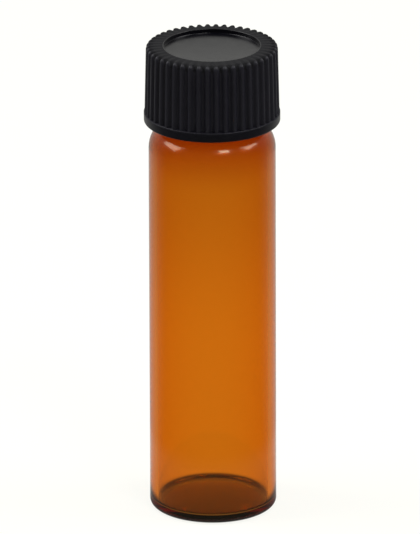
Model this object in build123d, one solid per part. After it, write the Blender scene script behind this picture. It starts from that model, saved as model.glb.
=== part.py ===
from build123d import *
from math import ceil, radians, sqrt, tan
import os

# A small amber glass sample vial with a ribbed screw cap and a flat cap liner.
# Millimetres, +Z up, the vial's axis on Z and its foot on z = 0.

# Glass, formed from tube, so one wall runs from the foot to the shoulder
glass_diameter = 16.6
glass_height = 60.4
glass_wall = 1.05
floor_thickness = 0.85
foot_rise = 0.45
foot_land = 1.1
heel_radius = 0.8
floor_corner_radius = 0.6
shoulder_radius = 3.7

# Screw finish on the neck
finish_height = 7.5
neck_diameter = 12.9
neck_bore_diameter = 9.2
neck_root_radius = 0.6
throat_radius = 1.2
lip_outer_radius = 0.5
lip_inner_radius = 0.75

# Thread, right-handed, with the same flank angle on the glass and in the cap
threads_per_inch = 12
thread_depth = 0.8
thread_crest_width = 0.35
thread_flank_angle = 30.0
thread_fade_angle = 50.0
thread_sink = 0.25
thread_section_angle = 25.0
neck_thread_turns = 1.9
neck_thread_drop = 5.65
cap_thread_turns = 2.0
cap_thread_start_angle = 120.0

# Clearances between the cap, its liner and the glass
crest_clearance = 0.15
root_clearance = 0.25
flank_clearance = 0.08
liner_clearance = 0.15

# Liner, a flat punched disc pressed on the lip by the cap
liner_thickness = 1.2

# Cap: a skirt with upright ribs and a smooth bead at its foot, and on top a ring that
# slopes down to the ribs from the rim of a sunk panel
cap_height = 10.37
cap_top_thickness = 2.17
ring_fall = 0.25
rib_count = 46
rib_top_diameter = 17.2
rib_foot_diameter = 17.6
rib_depth = 0.4
rib_root_width = 0.86
rib_crest_width = 0.34
rib_end_radius = 0.22
rib_sink = 0.2
skirt_edge_chamfer = 0.7
bead_diameter = 17.8
bead_height = 1.3
bead_foot_chamfer = 0.15
panel_diameter = 12.2
panel_depth = 0.55
panel_edge_chamfer = 0.4
mouth_chamfer = 0.35

# Worked out from the sizes above
glass_radius = glass_diameter / 2
neck_radius = neck_diameter / 2
neck_bore_radius = neck_bore_diameter / 2
neck_foot = glass_height - finish_height
pitch = 25.4 / threads_per_inch
flank_slope = tan(radians(thread_flank_angle))
neck_crest_radius = neck_radius + thread_depth
neck_thread_foot = glass_height - neck_thread_drop
cap_bore_radius = neck_crest_radius + crest_clearance
cap_crest_radius = neck_radius + root_clearance
ceiling = glass_height + liner_thickness
cap_top = ceiling + cap_top_thickness
cap_foot = cap_top - cap_height
ribs_top = cap_top - ring_fall
ribs_foot = cap_foot + bead_height


def outline(*points):
    """A closed face with straight sides, its radius along x and its height along y."""
    return make_face(Polyline(*points, close=True))


def post(radius, foot, top):
    """Half of the upright section of a round post."""
    return outline((0, foot), (radius, foot), (radius, top), (0, top))


def eased(section, cut, *corners):
    """The section with a fillet or chamfer cut at the corner nearest each point, to its own size."""
    for point, size in corners:
        vertex = section.vertices().sort_by_distance((*point, 0))[0]
        section = cut(vertex, size)
    return section


def turned(section):
    """The half section spun once about the Z axis."""
    return revolve(Plane.XZ * section, Axis.Z)


def thread_ridge(wall_radius, crest_radius, foot, start_angle, turns):
    """A ridge on the wall along a right-hand helix, fading into the wall at both ends."""
    outward = 1 if crest_radius > wall_radius else -1
    depth = abs(crest_radius - wall_radius)
    angle = 360 * turns
    steps = ceil(angle / thread_section_angle)
    crest = thread_crest_width / 2
    sections = []
    for step in range(steps + 1):
        along = angle * step / steps
        fade = min(1, along / thread_fade_angle, (angle - along) / thread_fade_angle)
        height = depth * fade - thread_sink / 2 * (1 - fade)
        root = crest + flank_slope * (height + thread_sink)
        sunk = wall_radius - outward * thread_sink
        top = wall_radius + outward * height
        ridge = outline((sunk, -root), (top, -crest), (top, crest), (sunk, root))
        place = Rot(0, 0, start_angle + along) * Pos(0, 0, foot + pitch * along / 360)
        sections.append(place * (Plane.XZ * ridge))
    return loft(sections)


def tube_profile(radius, arc_centre, side_top, floor, dome_radius):
    """Half of a domed, straight-sided form that closes in over a round shoulder."""
    dome = TangentArc((0, floor + foot_rise), (dome_radius, floor), tangent=(1, 0))
    side = Polyline((dome_radius, floor), (radius, floor), (radius, side_top))
    shoulder = CenterArc((arc_centre, side_top), radius - arc_centre, 0, 90)
    back = Polyline(shoulder @ 1, (0, side_top + radius - arc_centre), (0, floor + foot_rise))
    return make_face([dome, side, shoulder, back])


def vial_body():
    """The glass: domed foot, straight side, round shoulder, threaded neck and open bore."""
    arc_centre = glass_radius - shoulder_radius
    side_top = neck_foot - sqrt(shoulder_radius**2 - (neck_radius - arc_centre) ** 2)
    inner_radius = glass_radius - glass_wall
    dome_radius = glass_radius - heel_radius - foot_land
    throat = side_top + inner_radius - arc_centre
    outside = tube_profile(glass_radius, arc_centre, side_top, 0, dome_radius)
    inside = tube_profile(inner_radius, arc_centre, side_top, floor_thickness, dome_radius)
    neck = post(neck_radius, side_top, glass_height)
    bore = post(neck_bore_radius, side_top, glass_height)
    section = eased(
        (outside + neck) - (inside + bore),
        fillet,
        ((glass_radius, 0), heel_radius),
        ((neck_radius, neck_foot), neck_root_radius),
        ((neck_radius, glass_height), lip_outer_radius),
        ((neck_bore_radius, glass_height), lip_inner_radius),
        ((neck_bore_radius, throat), throat_radius),
        ((inner_radius, floor_thickness), floor_corner_radius),
    )
    thread = thread_ridge(neck_radius, neck_crest_radius, neck_thread_foot, 0, neck_thread_turns)
    return turned(section) + thread


def cap_rib():
    """One upright rib, leaning in with the skirt's draft, its top end rounded over."""
    crest = rib_foot_diameter / 2
    root = crest - rib_depth
    inner = root - skirt_edge_chamfer - rib_depth
    flank = [(root, rib_root_width / 2), (crest, rib_crest_width / 2)]
    mirrored = [(x, -y) for x, y in reversed(flank)]
    plan = outline((inner, rib_root_width / 2), *flank, *mirrored, (inner, -rib_root_width / 2))
    foot = ribs_foot - rib_sink
    climb = Vector((rib_top_diameter - rib_foot_diameter) / 2, 0, ribs_top - foot)
    rib = extrude(Pos(0, 0, foot) * plan, amount=climb.length, dir=climb)
    tip = rib.edges().group_by(Axis.Z)[-1].sort_by(Axis.X)[-1]
    return fillet(tip, rib_end_radius)


def screw_cap():
    """The cap: ribbed skirt, bead, sunk top panel and a threaded bore up to the liner's seat."""
    panel_radius = panel_diameter / 2
    bead_radius = bead_diameter / 2
    root_foot = rib_foot_diameter / 2 - rib_depth
    root_top = rib_top_diameter / 2 - rib_depth
    outside = outline(
        (0, cap_foot),
        (bead_radius, cap_foot),
        (bead_radius, ribs_foot),
        (root_foot, ribs_foot),
        (root_top, ribs_top),
        (panel_radius + panel_edge_chamfer, cap_top),
        (panel_radius, cap_top - panel_edge_chamfer),
        (panel_radius, cap_top - panel_depth),
        (0, cap_top - panel_depth),
    )
    outside = eased(
        outside,
        chamfer,
        ((bead_radius, cap_foot), bead_foot_chamfer),
        ((root_top, ribs_top), skirt_edge_chamfer),
    )
    mouth_radius = cap_bore_radius + mouth_chamfer
    lead_in = outline((0, cap_foot), (mouth_radius, cap_foot), (0, cap_foot + mouth_radius))
    overlap = neck_crest_radius - cap_crest_radius
    thread_offset = thread_crest_width + flank_slope * overlap + flank_clearance
    thread_foot = neck_thread_foot - thread_offset + pitch * cap_thread_start_angle / 360
    thread = thread_ridge(
        cap_bore_radius, cap_crest_radius, thread_foot, cap_thread_start_angle, cap_thread_turns
    )
    core_pin = turned(post(cap_bore_radius, cap_foot, ceiling) + lead_in) - thread
    rib = cap_rib()
    ribs = [turn * rib for turn in PolarLocations(0, rib_count)]
    return turned(outside) + ribs - core_pin


def cap_liner():
    """The flat sealing disc between the lip of the glass and the cap."""
    return turned(post(cap_bore_radius - liner_clearance, glass_height, ceiling))


os.makedirs("parts", exist_ok=True)
export_step(vial_body(), "parts/vial_body.step")
export_step(screw_cap(), "parts/screw_cap.step")
export_step(cap_liner(), "parts/cap_liner.step")
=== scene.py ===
"""An amber glass sample vial with a black ribbed screw cap, its stage and its camera."""

import math

import bmesh
import bpy
from bpy.props import FloatProperty, FloatVectorProperty, IntProperty, PointerProperty
from bpy.types import Operator, Panel, PropertyGroup
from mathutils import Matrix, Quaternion, Vector


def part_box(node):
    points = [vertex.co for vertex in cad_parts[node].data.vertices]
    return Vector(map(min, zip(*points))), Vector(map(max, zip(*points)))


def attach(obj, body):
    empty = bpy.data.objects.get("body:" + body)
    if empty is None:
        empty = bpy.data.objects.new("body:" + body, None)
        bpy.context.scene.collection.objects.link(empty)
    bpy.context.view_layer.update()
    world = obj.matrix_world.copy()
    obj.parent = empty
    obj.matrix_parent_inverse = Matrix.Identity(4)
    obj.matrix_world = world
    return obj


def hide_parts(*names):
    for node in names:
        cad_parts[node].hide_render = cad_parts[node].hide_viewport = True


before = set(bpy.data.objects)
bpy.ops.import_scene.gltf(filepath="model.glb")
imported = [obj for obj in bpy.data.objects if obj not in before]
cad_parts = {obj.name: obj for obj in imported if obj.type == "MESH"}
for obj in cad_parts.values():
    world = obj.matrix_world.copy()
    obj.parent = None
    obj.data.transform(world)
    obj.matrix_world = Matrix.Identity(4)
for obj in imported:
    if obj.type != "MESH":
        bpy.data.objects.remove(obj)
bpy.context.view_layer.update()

bl_info = {
    "name": "Amber sample vial",
    "version": (1, 0, 0),
    "blender": (4, 5, 0),
    "location": "View3D > Sidebar > Vial",
    "description": "Builds a sample vial's glass and cap, and finishes its liner and its stage",
    "category": "Object",
}

GLASS_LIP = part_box("vial_body")[1]
CAP_FOOT, CAP_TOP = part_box("screw_cap")
MM = 0.001

# The thread, the same on the glass and in the cap
THREAD_PITCH = 25.4 * MM / 12
THREAD_FLANK = math.tan(math.radians(30))
THREAD_CREST = 0.35 * MM
THREAD_FADE = math.radians(50)

# Tolerances: points that a spin leaves on each other, and points that lie on a thread's wall
WELD = 0.002 * MM
ON_WALL = 0.01 * MM

# Layers that keep how far a rib stands out of its groove, and how far above it
RIB_OUT, RIB_UP = "rib_out", "rib_up"

# The angle from which the cap's edges are sharp
CAP_SHARP = math.radians(50)

# The picture's height in pixels and the camera's sensor in millimetres
FRAME_HEIGHT = 534
SENSOR = 36.0

# Each lamp's name, azimuth and elevation in degrees, width, height and radiance
LAMPS = (
    ("left_softbox", -93, 45, 0.3, 0.38, 5.5),
    ("right_softbox", 88, 46, 0.25, 0.32, 5.5),
    ("front_light", 27, 48, 0.13, 0.12, 13.0),
)

# The point that the lamps face, and how far from it they stand
LAMPS_FACE = Vector((0, 0, 0.05))
LAMP_DISTANCE = 0.5

# From beside the vial to straight behind it, as the camera sees it, for what reflections show
BEHIND = -0.1, 1.1
FLOOR_RADIUS = 6.0

# The liner's colour, and how much of each colour the skin of the shoulder lets through, for its
# thicker glass and as painted shade beneath the cap
FOAM = 0.85, 0.84, 0.8
GATHERED_AND_SHADED = 0.6, 0.2, 0.1


def length(name, millimetres, description):
    """A size that a user may change, written in millimetres and kept in metres."""
    return FloatProperty(
        name=name, description=description, default=millimetres * MM, min=0, unit="LENGTH",
        precision=5,
    )


def colour(name, default, description):
    """A linear colour that a user may change."""
    return FloatVectorProperty(
        name=name, description=description, default=default, size=3, min=0, max=1, subtype="COLOR"
    )


def angle(name, degrees, description):
    """An angle that a user may change, written in degrees and kept in radians."""
    return FloatProperty(
        name=name, description=description, default=math.radians(degrees), unit="ROTATION"
    )


class GlassSettings(PropertyGroup):
    """Sizes and colour of the glass."""

    radius: length("Radius", GLASS_LIP.x / MM, "Outer radius of the straight side")
    height: length("Height", GLASS_LIP.z / MM, "Height of the lip above the foot")
    wall: length("Wall", 1.05, "Thickness of the tube's wall")
    floor: length("Floor", 0.85, "Thickness of the glass floor")
    foot_rise: length("Foot rise", 0.45, "How far the middle of the foot is pushed up")
    foot_land: length("Foot land", 1.1, "Width of the flat ring that the vial stands on")
    heel: length("Heel radius", 0.8, "Rounding between the foot and the side")
    corner: length("Floor corner radius", 0.6, "Rounding between the floor and the wall inside")
    shoulder: length("Shoulder radius", 3.7, "Rounding of the shoulder outside")
    finish: length("Finish height", 7.5, "Height of the neck above the shoulder")
    neck: length("Neck radius", 6.45, "Outer radius of the neck between the threads")
    neck_root: length("Neck root radius", 0.6, "Rounding between the shoulder and the neck")
    bore: length("Bore radius", 4.6, "Inner radius of the neck")
    throat: length("Throat radius", 1.2, "Rounding between the neck's bore and the shoulder inside")
    lip_outer: length("Outer lip radius", 0.5, "Rounding of the lip outside")
    lip_inner: length("Inner lip radius", 0.75, "Rounding of the lip inside")
    thread_depth: length("Thread depth", 0.8, "Height of the thread above the neck")
    thread_drop: length("Thread drop", 5.65, "Height of the lip above the thread's lower end")
    thread_turns: FloatProperty(name="Thread turns", description="Turns of the thread", default=1.9)
    segments: IntProperty(
        name="Segments", description="Flat steps round the glass", default=192, min=24
    )
    ior: FloatProperty(name="IOR", description="Refractive index of the glass", default=1.52)
    tint: colour("Tint", (0.929, 0.676, 0.031), "Colour that the glass lets through")
    skin: colour("Skin", (0.925, 0.7, 0.347), "Colour that the two faces of a wall let through")
    gleam: colour("Gleam", (1.0, 0.85, 0.6), "Colour of what the glass reflects")
    # Painted shade: a near-black opaque coat mixed over the glass's underside, strongest at the
    # heel, standing in for the contact shadow beneath the foot.
    underside_shade: colour("Painted_shade", (0.012, 0.009, 0.007), "Colour that is mixed in on the underside")
    density: FloatProperty(
        name="Density", description="How strongly the glass absorbs, for each metre", default=1560.0
    )


class CapSettings(PropertyGroup):
    """Sizes and colour of the cap."""

    foot: length("Foot", CAP_FOOT.z / MM, "Height of the cap's foot")
    top: length("Top", CAP_TOP.z / MM, "Height of the cap's top")
    ceiling: length("Ceiling", 61.6, "Height of the seat that presses on the liner")
    bead: length("Bead radius", CAP_TOP.x / MM, "Outer radius of the smooth bead at the foot")
    bead_height: length("Bead height", 1.3, "Height of the bead")
    bead_edge: length("Bead edge radius", 0.05, "Rounding at the top of the bead")
    bead_heel: length("Bead foot radius", 0.25, "Rounding at the foot of the bead")
    rib_count: IntProperty(name="Ribs", description="Ribs round the skirt", default=46, min=3)
    rib_steps: IntProperty(
        name="Steps to a rib", description="Flat steps from one rib to the next", default=10, min=4
    )
    rib_top: length("Rib radius at the top", 8.6, "Radius over the ribs at the top")
    rib_foot: length("Rib radius at the foot", 8.8, "Radius over the ribs at the bead")
    rib_depth: length("Rib depth", 0.4, "Height of a rib above the grooves")
    rib_crest: length("Rib crest width", 0.34, "Width of a rib's flat crest")
    rib_root: length("Rib root width", 0.86, "Width of a rib where it leaves the skirt")
    rib_end: length("Rib end radius", 0.5, "Rounding over a rib's top end")
    skirt_edge: length("Skirt edge radius", 0.75, "Rounding over the skirt's top between the ribs")
    panel: length("Panel radius", 6.3, "Radius of the sunk panel on top")
    panel_depth: length("Panel depth", 0.55, "Depth of the sunk panel")
    panel_edge: length("Panel edge radius", 0.05, "Rounding at the rim of the panel")
    panel_corner: length("Panel corner radius", 0.06, "Rounding at the foot of the panel's wall")
    panel_dish: length("Panel dish", 0.12, "How far the middle of the panel is sunk below its edge")
    ring_fall: length("Ring fall", 0.12, "How far the grooves fall from the panel to the skirt")
    bore: length("Bore radius", 7.4, "Inner radius of the skirt")
    mouth: length("Mouth chamfer", 0.35, "Lead-in at the mouth of the bore")
    thread_depth: length("Thread depth", 0.7, "Height of the thread above the bore")
    thread_start: length("Thread start", 54.708, "Height of the thread's lower end")
    thread_angle: angle("Thread angle", 120, "Where the thread's lower end lies round the bore")
    thread_turns: FloatProperty(name="Thread turns", description="Turns of the thread", default=2.0)
    plastic: colour("Plastic", (0.0055, 0.005, 0.0098), "Colour of the moulded plastic")
    ior: FloatProperty(name="IOR", description="Refractive index of the plastic", default=1.46)


class StageSettings(PropertyGroup):
    """Camera, floor, surroundings and lamps."""

    elevation: angle("Camera elevation", 20.5, "Height of the camera above the horizon")
    roll: angle("Camera roll", 0.18, "Lean of the vial in the frame")
    distance: length("Camera distance", 1800, "From the camera to the vial")
    aim: FloatVectorProperty(
        name="Aim", description="Point at the middle of the frame", subtype="XYZ", unit="LENGTH",
        default=(-0.000329, 0, 0.032952),
    )
    pixels_a_metre: FloatProperty(
        name="Scale", description="Pixels to a metre at the vial", default=7641.0
    )
    floor_colour: colour("Floor colour", (1.0, 1.0, 0.955), "Colour of the floor and surroundings")
    ambient: FloatProperty(
        name="Ambient", description="Strength of the surroundings as a light", default=0.55
    )


class Outline:
    """Half a section in the XZ plane, drawn as one path of straight runs and arcs."""

    def __init__(self, x, z):
        self.mesh = bmesh.new()
        self.end = self.mesh.verts.new((x, 0, z))

    def line(self, x, z, cuts=0):
        """A straight run to a point, divided by a number of cuts."""
        start, finish = self.end.co.copy(), Vector((x, 0, z))
        for step in range(1, cuts + 2):
            self.end = bmesh.ops.extrude_vert_indiv(self.mesh, verts=[self.end])["verts"][0]
            self.end.co = start.lerp(finish, step / (cuts + 1))

    def arc(self, x, z, turn, steps):
        """An arc round a centre, anticlockwise as the section is drawn."""
        made = bmesh.ops.spin(
            self.mesh, geom=[self.end], cent=(x, 0, z), axis=(0, -1, 0), dvec=(0, 0, 0),
            angle=turn, steps=steps, use_merge=False, use_normal_flip=False, use_duplicate=False,
        )
        self.end = next(part for part in made["geom_last"] if isinstance(part, bmesh.types.BMVert))


def turn_solid(mesh, steps):
    """The outline spun once round Z into a closed skin."""
    bmesh.ops.spin(
        mesh, geom=mesh.verts[:] + mesh.edges[:], cent=(0, 0, 0), axis=(0, 0, 1), dvec=(0, 0, 0),
        angle=math.tau, steps=steps, use_merge=True, use_normal_flip=False, use_duplicate=False,
    )
    bmesh.ops.remove_doubles(mesh, verts=mesh.verts, dist=WELD)


def finished(mesh, name, sharp=None):
    """The mesh as an object in the scene, its faces outwards and smooth."""
    bmesh.ops.recalc_face_normals(mesh, faces=mesh.faces)
    for face in mesh.faces:
        face.smooth = True
    data = bpy.data.meshes.new(name)
    mesh.to_mesh(data)
    mesh.free()
    if sharp is not None:
        data.set_sharp_from_angle(angle=sharp)
    piece = bpy.data.objects.new(name, data)
    bpy.context.scene.collection.objects.link(piece)
    return piece


def thread_height(around, z, depth, foot, start, turns):
    """How far a thread stands above its wall at a place round the wall and a height."""
    total, best = math.tau * turns, 0.0
    along = (around - start) % math.tau
    while along < total:
        fade = min(1.0, along / THREAD_FADE, (total - along) / THREAD_FADE)
        away = abs(z - foot - THREAD_PITCH * along / math.tau)
        rise = depth * fade - max(0.0, away - THREAD_CREST / 2) / THREAD_FLANK
        best = max(best, rise)
        along += math.tau
    return best


def cut_thread(mesh, wall, low, high, outward, *thread):
    """Moves the wall's points between two heights out or in along a thread."""
    for vert in mesh.verts:
        around = math.atan2(vert.co.y, vert.co.x)
        reach = math.hypot(vert.co.x, vert.co.y)
        if abs(reach - wall) < ON_WALL and low < vert.co.z < high:
            lift = thread_height(around, vert.co.z, *thread)
            grown = (reach + outward * lift) / reach
            vert.co.x *= grown
            vert.co.y *= grown


class Value:
    """A shader socket that can be used in Python sums; each sum adds its Math node."""

    def __init__(self, look, socket):
        self.look = look
        self.socket = socket

    def maths(self, operation, *terms):
        inputs = dict(enumerate(terms))
        return self.look.add("ShaderNodeMath", {"operation": operation}, inputs)

    def __add__(self, other):
        return self.maths("ADD", self, other)

    __radd__ = __add__

    def __sub__(self, other):
        return self.maths("SUBTRACT", self, other)

    def __rsub__(self, other):
        return self.maths("SUBTRACT", other, self)

    def __mul__(self, other):
        return self.maths("MULTIPLY", self, other)

    def __truediv__(self, other):
        return self.maths("DIVIDE", self, other)

    def __pow__(self, other):
        return self.maths("POWER", self, other)

    def at_most(self, other):
        return self.maths("MINIMUM", self, other)

    def at_least(self, other):
        return self.maths("MAXIMUM", self, other)

    def ramp(self, low, high):
        """Rises smoothly from 0 at low to 1 at high."""
        return self.look.add(
            "ShaderNodeMapRange", {"interpolation_type": "SMOOTHSTEP"},
            {"Value": self, "From Min": low, "From Max": high},
        )


class Look:
    """The nodes of one material, world or lamp."""

    def __init__(self, owner):
        owner.use_nodes = True
        self.tree = owner.node_tree
        self.tree.nodes.clear()

    def add(self, kind, settings=None, inputs=None, output=0):
        """One node: its settings first, then the values or links of its sockets."""
        node = self.tree.nodes.new(kind)
        for name, value in (settings or {}).items():
            setattr(node, name, value)
        for name, value in (inputs or {}).items():
            if isinstance(value, Value):
                self.tree.links.new(value.socket, node.inputs[name])
            else:
                node.inputs[name].default_value = value
        return Value(self, node.outputs[output]) if node.outputs else node

    def output(self, node_value, name):
        """Another output of the node that a value comes from."""
        return Value(self, node_value.socket.node.outputs[name])

    def axes(self, point):
        """X, Y and Z of a point."""
        x = self.add("ShaderNodeSeparateXYZ", inputs={"Vector": point})
        return x, self.output(x, "Y"), self.output(x, "Z")

    def object_point(self):
        """The point in Object coordinates."""
        return self.add("ShaderNodeTexCoord", output="Object")

    def place(self):
        """The point in Object coordinates, with its Y, its Z and its distance from the axis."""
        point = self.object_point()
        x, y, z = self.axes(point)
        return point, y, z, (x * x + y * y) ** 0.5

    def rays(self):
        """Whether a ray comes from the camera, through glass, or off a glossy surface."""
        direct = self.add("ShaderNodeLightPath", output="Is Camera Ray")
        seen_through = self.output(direct, "Is Transmission Ray")
        return direct, seen_through, self.output(direct, "Is Glossy Ray") * (1 - seen_through)

    def stretched(self, point, scale):
        """The point with its axes stretched, to draw a pattern out along one of them."""
        return self.add("ShaderNodeMapping", {}, {"Vector": point, "Scale": scale})

    def noise(self, point, scale, detail=2.0):
        """Soft random values about a half."""
        return self.add(
            "ShaderNodeTexNoise", {}, {"Vector": point, "Scale": scale, "Detail": detail}
        )

    def mixed(self, factor, first, second):
        """A colour between two others."""
        inputs = {0: factor, 6: first, 7: second}
        return self.add("ShaderNodeMix", {"data_type": "RGBA"}, inputs, 2)

    def bump(self, height, strength, distance):
        """A normal from a height, with the distance that a height of 1 stands for."""
        return self.add(
            "ShaderNodeBump", {}, {"Height": height, "Strength": strength, "Distance": distance}
        )

    def finish(self, surface, volume=None):
        """The material's output."""
        inputs = {"Surface": surface}
        if volume:
            inputs["Volume"] = volume
        self.add("ShaderNodeOutputMaterial", {}, inputs)


def rgba(values):
    """A colour with its alpha."""
    return (*values, 1.0)


def amber_glass(settings):
    """Brown glass, coloured through its thickness, darker and redder to the shoulder for thicker
    glass and painted shade, and with painted shade on its underside.
    """
    material = bpy.data.materials.new("amber_glass")
    look = Look(material)
    point, _, z, reach = look.place()
    draw_lines = look.noise(look.stretched(point, (1.0, 1.0, 0.04)), 420.0)
    waves = look.noise(look.stretched(point, (1.0, 1.0, 0.3)), 110.0)
    uneven = draw_lines * 0.3 + waves
    lip = settings.height
    # Partly painted shade: toward the shoulder the skin turns darker and redder, for the thicker
    # glass there and as painted shade beneath the cap; less so on the neck.
    on_neck = z.ramp(lip - 7.2 * MM, lip - 6 * MM)
    thick_and_shaded = z.ramp(lip - 15 * MM, lip - 5.4 * MM) * (1 - on_neck * 0.75)
    gathered_and_shaded = rgba([a * b for a, b in zip(settings.skin, GATHERED_AND_SHADED)])
    bent = z.ramp(lip - 12 * MM, lip - 9.5 * MM)
    rounded = settings.radius - settings.heel
    heel = reach.ramp(rounded - 1.2 * MM, rounded - 0.5 * MM)
    # Painted shade: how much of the near-black opaque coat covers the glass, about a third of the
    # underside and nearly all of the heel, for the contact shadow beneath the foot.
    sole_shade = (heel * 0.58 + 0.35) * (1 - z.ramp(0.45 * MM, 0.8 * MM))
    clear = look.add(
        "ShaderNodeBsdfPrincipled", {},
        {
            "Base Color": look.mixed(thick_and_shaded, rgba(settings.skin), gathered_and_shaded),
            "Roughness": bent * 0.17,
            "IOR": settings.ior,
            "Specular Tint": rgba(settings.gleam),
            "Transmission Weight": 1.0,
            "Normal": look.bump(uneven, 0.35, 0.03 * MM),
        },
    )
    # The near-black opaque coat of painted shade.
    painted_shade_coat = look.add(
        "ShaderNodeBsdfPrincipled", {},
        {"Base Color": rgba(settings.underside_shade), "Roughness": 0.15, "IOR": settings.ior},
    )
    surface = look.add("ShaderNodeMixShader", {}, {0: sole_shade, 1: clear, 2: painted_shade_coat})
    volume = look.add(
        "ShaderNodeVolumeAbsorption", {},
        {"Color": rgba(settings.tint), "Density": settings.density},
    )
    look.finish(surface, volume)
    return material


def cap_plastic(settings):
    """Black moulded plastic, satin on the skirt, dull on the ring, smoother on panel and bead, with
    painted shade darkening the ring and bead.
    """
    material = bpy.data.materials.new("black_cap_plastic")
    look = Look(material)
    point, _, z, reach = look.place()
    rim = settings.panel + settings.panel_edge
    on_top = z.ramp(settings.top - 1.2 * MM, settings.top - 0.7 * MM)
    on_panel = (1 - reach.ramp(rim, rim + 0.1 * MM)) * on_top
    on_skirt = reach.ramp(settings.rib_top - 0.45 * MM, settings.rib_top - 0.15 * MM)
    on_ring = (1 - on_skirt) * on_top
    ledge = settings.foot + settings.bead_height
    on_bead = 1 - z.ramp(ledge - 0.2 * MM, ledge)
    grain = look.noise(point, 5200.0, 3.0)
    cloud = look.noise(point, 700.0, 2.0)
    roughness = 0.55 + on_ring * 0.4 - on_panel * 0.71 - on_bead * 0.16 + (cloud - 0.5) * 0.12
    satin = look.mixed(cloud, rgba(settings.plastic), rgba([1.35 * c for c in settings.plastic]))
    # Painted shade: a darker copy of the plastic, fully on the ring on top and in part on the bead,
    # keeping them as dark as they look in the light from above.
    shaded_plastic = rgba([0.3 * c for c in settings.plastic])
    shade = look.mixed((on_ring + on_bead * 0.7).at_most(1.0), satin, shaded_plastic)
    surface = look.add(
        "ShaderNodeBsdfPrincipled", {},
        {
            "Base Color": shade,
            "Roughness": roughness,
            "IOR": settings.ior,
            "Normal": look.bump(grain + cloud, 0.25, 0.01 * MM),
        },
    )
    look.finish(surface)
    return material


def liner_foam(foam_colour):
    """Soft white foamed sheet with fine cells."""
    material = bpy.data.materials.new("white_liner_foam")
    look = Look(material)
    point = look.object_point()
    cells = look.add("ShaderNodeTexVoronoi", {}, {"Vector": point, "Scale": 5200.0})
    cloud = look.noise(point, 600.0, 3.0)
    darker = rgba([0.9 * c for c in foam_colour])
    surface = look.add(
        "ShaderNodeBsdfPrincipled", {},
        {
            "Base Color": look.mixed(cloud, rgba(foam_colour), darker),
            "Roughness": 0.75 + (cloud - 0.5) * 0.1,
            "Normal": look.bump(cells, 0.3, 0.02 * MM),
        },
    )
    look.finish(surface)
    return material


class VIAL_OT_glass(Operator):
    """Builds the glass as one skin, from the foot round the lip to the floor inside"""

    bl_idname = "vial.glass"
    bl_label = "Build the glass"

    def execute(self, context):
        size = context.scene.vial_glass
        arc_centre = size.radius - size.shoulder
        neck_foot = size.height - size.finish
        side_top = neck_foot - math.sqrt(size.shoulder**2 - (size.neck - arc_centre) ** 2)
        dome = size.radius - size.heel - size.foot_land
        dome_radius = (dome**2 + size.foot_rise**2) / (2 * size.foot_rise)
        dome_turn = math.asin(dome / dome_radius)
        draw = Outline(0, size.foot_rise)
        draw.arc(0, size.foot_rise - dome_radius, -dome_turn, steps=12)
        draw.line(size.radius - size.heel, 0, cuts=2)
        draw.arc(size.radius - size.heel, size.heel, math.pi / 2, steps=14)
        draw.line(size.radius, side_top, cuts=60)

        root = size.neck + size.neck_root
        root_height = math.sqrt((size.shoulder + size.neck_root) ** 2 - (root - arc_centre) ** 2)
        shoulder_turn = math.atan2(root_height, root - arc_centre)
        draw.arc(arc_centre, side_top, shoulder_turn, steps=14)
        draw.arc(root, side_top + root_height, -shoulder_turn, steps=6)
        lip = size.height - size.lip_outer
        draw.line(size.neck, lip, cuts=76)
        draw.arc(size.neck - size.lip_outer, lip, math.pi / 2, steps=8)
        draw.line(size.bore + size.lip_inner, size.height, cuts=1)
        draw.arc(size.bore + size.lip_inner, size.height - size.lip_inner, math.pi / 2, steps=8)

        inner = size.radius - size.wall
        inner_shoulder = inner - arc_centre
        throat = size.bore + size.throat
        throat_height = math.sqrt((inner_shoulder + size.throat) ** 2 - (throat - arc_centre) ** 2)
        throat_turn = math.atan2(throat_height, throat - arc_centre)
        draw.line(size.bore, side_top + throat_height, cuts=8)
        draw.arc(throat, side_top + throat_height, throat_turn, steps=10)
        draw.arc(arc_centre, side_top, -throat_turn, steps=12)
        draw.line(inner, size.floor + size.corner, cuts=60)
        draw.arc(inner - size.corner, size.floor + size.corner, -math.pi / 2, steps=12)
        draw.line(dome, size.floor)
        draw.arc(0, size.floor + size.foot_rise - dome_radius, dome_turn, steps=12)

        turn_solid(draw.mesh, size.segments)
        thread = size.thread_depth, size.height - size.thread_drop, 0.0, size.thread_turns
        cut_thread(draw.mesh, size.neck, side_top, lip, 1, *thread)
        glass = finished(draw.mesh, "glass")
        glass.data.materials.append(amber_glass(size))
        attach(glass, "vial")
        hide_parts("vial_body")
        return {"FINISHED"}


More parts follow.
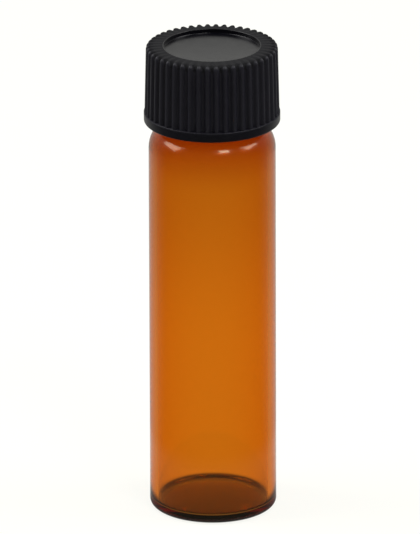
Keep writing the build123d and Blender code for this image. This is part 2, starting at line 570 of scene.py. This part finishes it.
class VIAL_OT_cap(Operator):
    """Builds the ribbed cap as one skin, with its sunk panel, its bead and its thread inside"""

    bl_idname = "vial.cap"
    bl_label = "Build the cap"

    def section(self, size, depth, edge, fall):
        """The cap's section, with the skirt's surface a depth inside the ribs' crests."""
        floor, foot = size.top - size.panel_depth, size.panel - size.panel_corner
        dish_radius = (foot**2 + size.panel_dish**2) / (2 * size.panel_dish)
        draw = Outline(0, floor - size.panel_dish)
        draw.arc(0, floor - size.panel_dish + dish_radius, math.asin(foot / dish_radius), steps=16)
        draw.arc(foot, floor + size.panel_corner, math.pi / 2, steps=3)
        draw.line(size.panel, size.top - size.panel_edge, cuts=1)
        rim = size.panel + size.panel_edge
        draw.arc(rim, size.top - size.panel_edge, -math.pi / 2, steps=3)
        slope = math.atan2(fall, size.rib_top - size.rib_depth - rim)
        across = size.rib_top - depth - edge
        turn_height = size.top - (across - rim) * math.tan(slope) - edge / math.cos(slope)
        draw.line(across + edge * math.sin(slope), turn_height + edge * math.cos(slope), cuts=3)
        draw.arc(across, turn_height, slope - math.pi / 2, steps=8)
        ledge = size.foot + size.bead_height
        draw.line(size.rib_foot - depth, ledge, cuts=6)
        draw.line(size.bead - size.bead_edge, ledge)
        draw.arc(size.bead - size.bead_edge, ledge - size.bead_edge, -math.pi / 2, steps=3)
        draw.line(size.bead, size.foot + size.bead_heel, cuts=1)
        draw.arc(size.bead - size.bead_heel, size.foot + size.bead_heel, -math.pi / 2, steps=8)
        draw.line(size.bore + size.mouth, size.foot)
        draw.line(size.bore, size.foot + size.mouth)
        draw.line(size.bore, size.ceiling, cuts=52)
        draw.line(0, size.ceiling, cuts=3)
        return draw.mesh

    def raise_ribs(self, mesh, size, out, up):
        """Moves the skirt from its grooves to the ribs' crests, in part on a rib's flanks."""
        flank = (size.rib_root - size.rib_crest) / 2
        for vert in mesh.verts:
            if vert[out] == 0 and vert[up] == 0:
                continue
            around = math.atan2(vert.co.y, vert.co.x) * size.rib_count / math.tau
            from_rib = abs((around + 0.5) % 1 - 0.5) * math.tau * size.rib_top / size.rib_count
            share = min(1.0, max(0.0, (size.rib_root / 2 - from_rib) / flank))
            reach = math.hypot(vert.co.x, vert.co.y)
            grown = (reach + share * vert[out]) / reach
            vert.co = vert.co.x * grown, vert.co.y * grown, vert.co.z + share * vert[up]

    def execute(self, context):
        size = context.scene.vial_cap
        grooves = self.section(size, size.rib_depth, size.skirt_edge, size.ring_fall)
        crests = self.section(size, 0, size.rib_end, 0)
        out = grooves.verts.layers.float.new(RIB_OUT)
        up = grooves.verts.layers.float.new(RIB_UP)
        for low, high in zip(grooves.verts, crests.verts):
            low[out] = high.co.x - low.co.x
            low[up] = high.co.z - low.co.z
        crests.free()
        turn_solid(grooves, size.rib_count * size.rib_steps)
        self.raise_ribs(grooves, size, out, up)
        thread = size.thread_depth, size.thread_start, size.thread_angle, size.thread_turns
        cut_thread(grooves, size.bore, size.foot + size.mouth, size.ceiling, -1, *thread)
        cap = finished(grooves, "ribbed_cap", CAP_SHARP)
        cap.data.materials.append(cap_plastic(size))
        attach(cap, "cap")
        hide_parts("screw_cap")
        return {"FINISHED"}


class VIAL_OT_liner(Operator):
    """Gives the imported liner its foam"""

    bl_idname = "vial.liner"
    bl_label = "Finish the liner"

    def execute(self, context):
        foam = liner_foam(FOAM)
        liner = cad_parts["cap_liner"]
        liner.data.materials.clear()
        liner.data.materials.append(foam)
        return {"FINISHED"}


class VIAL_OT_stage(Operator):
    """Makes the pale floor, the surroundings, the lamps and the camera"""

    bl_idname = "vial.stage"
    bl_label = "Set the stage"

    def floor(self, settings):
        """A wide pale floor with a soft shadow; through the glass it has a painted shadow beneath
        the vial and painted shade far behind it, and in reflections it is dimmed.
        """
        mesh = bmesh.new()
        bmesh.ops.create_circle(mesh, cap_ends=True, segments=96, radius=FLOOR_RADIUS)
        floor = finished(mesh, "floor")
        material = bpy.data.materials.new("pale_floor")
        look = Look(material)
        _, y, _, reach = look.place()
        direct, seen_through, mirrored = look.rays()
        # Painted shadow: to rays through the glass the floor is nearly dark beneath the vial and
        # fades darker far behind it, for the vial's own shadow.
        painted_shadow_under = reach.ramp(8.8 * MM, 11.8 * MM) * 0.96 + 0.04
        painted_shade_through_glass = painted_shadow_under * (0.91 - reach.ramp(55 * MM, 130 * MM) * 0.23)
        # Painted reflection: in reflections the floor glows only behind the vial and a little near
        # it, and is dark in front.
        close = (1 - reach.ramp(25 * MM, 34 * MM)) * 0.2
        behind = (y / reach.at_least(1 * MM)).ramp(*BEHIND) * 0.6 + close
        share = direct * 0.84 + (seen_through + mirrored) * 0.98
        glow = direct + seen_through * painted_shade_through_glass + mirrored * behind
        tint = rgba(settings.floor_colour)
        bright = look.add("ShaderNodeEmission", {}, {"Color": tint, "Strength": glow})
        duller = rgba([0.9 * c for c in settings.floor_colour])
        matt = look.add("ShaderNodeBsdfDiffuse", {}, {"Color": duller})
        look.finish(look.add("ShaderNodeMixShader", {}, {0: share, 1: matt, 2: bright}))
        floor.data.materials.append(material)

    def surroundings(self, settings):
        """White to the camera, dimmer through the glass, and in reflections dark in front."""
        world = bpy.data.worlds.new("studio")
        bpy.context.scene.world = world
        look = Look(world)
        direction = look.add("ShaderNodeTexCoord", output="Generated")
        _, y, z = look.axes(direction)
        direct, seen_through, mirrored = look.rays()
        behind = y.ramp(*BEHIND) * 0.6
        seen = (direct + seen_through * (0.7 - z.ramp(0.05, 0.3) * 0.4)).at_most(1.0)
        other = 1 - (seen + mirrored).at_most(1.0)
        strength = seen + mirrored * behind + other * settings.ambient
        background = look.add(
            "ShaderNodeBackground", {}, {"Color": rgba(settings.floor_colour), "Strength": strength}
        )
        look.add("ShaderNodeOutputWorld", {}, {"Surface": background})

    def softbox(self, name, azimuth, elevation, width, height, radiance):
        """A rectangular lamp that faces the vial, placed round it from the camera's side."""
        around, above = math.radians(azimuth), math.radians(elevation)
        away = Vector((
            math.sin(around) * math.cos(above), -math.cos(around) * math.cos(above), math.sin(above)
        ))
        light = bpy.data.lights.new(name, "AREA")
        light.shape = "RECTANGLE"
        light.size, light.size_y = width, height
        light.energy = radiance * math.pi * width * height
        lamp = bpy.data.objects.new(name, light)
        lamp.location = LAMPS_FACE + away * LAMP_DISTANCE
        lamp.rotation_euler = away.to_track_quat("Z", "Y").to_euler()
        lamp.visible_camera = False
        bpy.context.scene.collection.objects.link(lamp)

    def camera(self, settings):
        """The photograph's viewpoint."""
        lens = bpy.data.cameras.new("camera")
        camera = bpy.data.objects.new("camera", lens)
        bpy.context.scene.collection.objects.link(camera)
        away = Vector((0, -math.cos(settings.elevation), math.sin(settings.elevation)))
        lens.sensor_fit = "VERTICAL"
        lens.sensor_height = SENSOR
        lens.lens = settings.pixels_a_metre * settings.distance * SENSOR / FRAME_HEIGHT
        lens.clip_start, lens.clip_end = 0.05, 50.0
        camera.rotation_mode = "QUATERNION"
        roll = Quaternion((0, 0, 1), -settings.roll)
        camera.rotation_quaternion = (-away).to_track_quat("-Z", "Y") @ roll
        camera.location = Vector(settings.aim) + away * settings.distance
        bpy.context.scene.camera = camera

    def execute(self, context):
        settings = context.scene.vial_stage
        self.floor(settings)
        self.surroundings(settings)
        for lamp in LAMPS:
            self.softbox(*lamp)
        self.camera(settings)
        context.scene.view_settings.view_transform = "Standard"
        return {"FINISHED"}


class VIAL_PT_panel(Panel):
    """Lists the pieces of the vial"""

    bl_label = "Sample vial"
    bl_idname = "VIAL_PT_panel"
    bl_space_type = "VIEW_3D"
    bl_region_type = "UI"
    bl_category = "Vial"

    def draw(self, context):
        for operator in OPERATORS:
            self.layout.operator(operator.bl_idname)
        for group in (context.scene.vial_glass, context.scene.vial_cap, context.scene.vial_stage):
            box = self.layout.box()
            for name in group.bl_rna.properties.keys():
                if name not in ("rna_type", "name"):
                    box.prop(group, name)


OPERATORS = (VIAL_OT_glass, VIAL_OT_cap, VIAL_OT_liner, VIAL_OT_stage)
GROUPS = {"vial_glass": GlassSettings, "vial_cap": CapSettings, "vial_stage": StageSettings}
CLASSES = (*GROUPS.values(), *OPERATORS, VIAL_PT_panel)


def register():
    for cls in CLASSES:
        bpy.utils.register_class(cls)
    for name, group in GROUPS.items():
        setattr(bpy.types.Scene, name, PointerProperty(type=group))


def unregister():
    for name in GROUPS:
        delattr(bpy.types.Scene, name)
    for cls in reversed(CLASSES):
        bpy.utils.unregister_class(cls)


def main():
    register()
    bpy.ops.vial.glass()
    bpy.ops.vial.cap()
    bpy.ops.vial.liner()
    bpy.ops.vial.stage()


if __name__ == "__main__":
    main()
